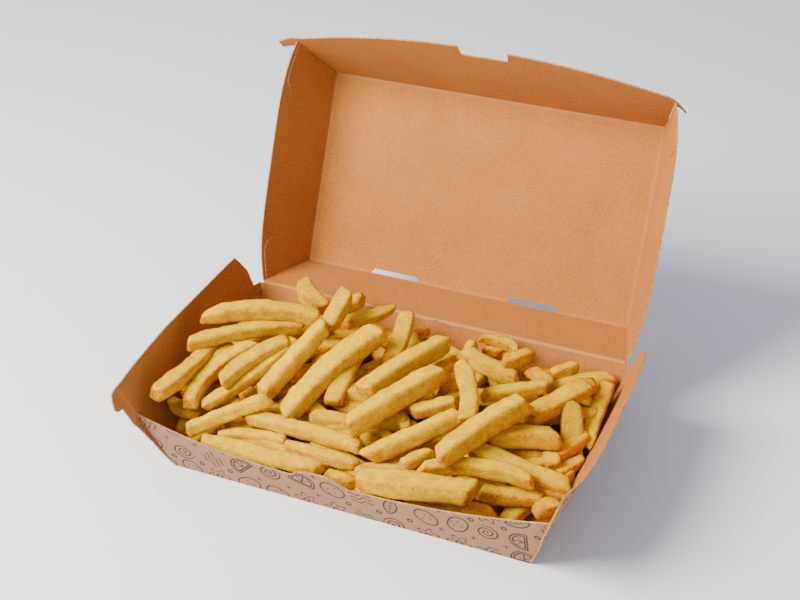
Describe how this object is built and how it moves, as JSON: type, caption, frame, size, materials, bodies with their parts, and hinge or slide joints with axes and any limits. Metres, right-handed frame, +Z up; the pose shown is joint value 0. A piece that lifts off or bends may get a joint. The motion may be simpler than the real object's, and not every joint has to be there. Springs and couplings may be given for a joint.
{
  "type": "french fries in a carton",
  "caption": "Open hinged takeaway carton of thin fluted cardboard, filled with a heap of chunky french fries; the lid swings about its crease and closes over them.",
  "frame": {"origin": "centre of the base's underside, on the surface that the carton stands on", "axes": "+X to the right along the front wall, +Y from the front wall to the hinge, +Z up"},
  "size_m": [0.2268, 0.2233, 0.1724],
  "materials": {
    "board": "matt unbleached fluted board",
    "lid_board": "matt unbleached fluted board",
    "fries": "fried potato, satin"
  },
  "bodies": {
    "base": {"carton_base": "board", "fries_heap": "fries"},
    "lid": {"carton_lid": "lid_board"}
  },
  "joints": [
    {"name": "lid_hinge", "type": "hinge", "parent": "base", "child": "lid", "pos_m": [0, 0.0649, 0.0377], "axis": [1, 0, 0], "range_deg": [-64, 113.7]}
  ]
}
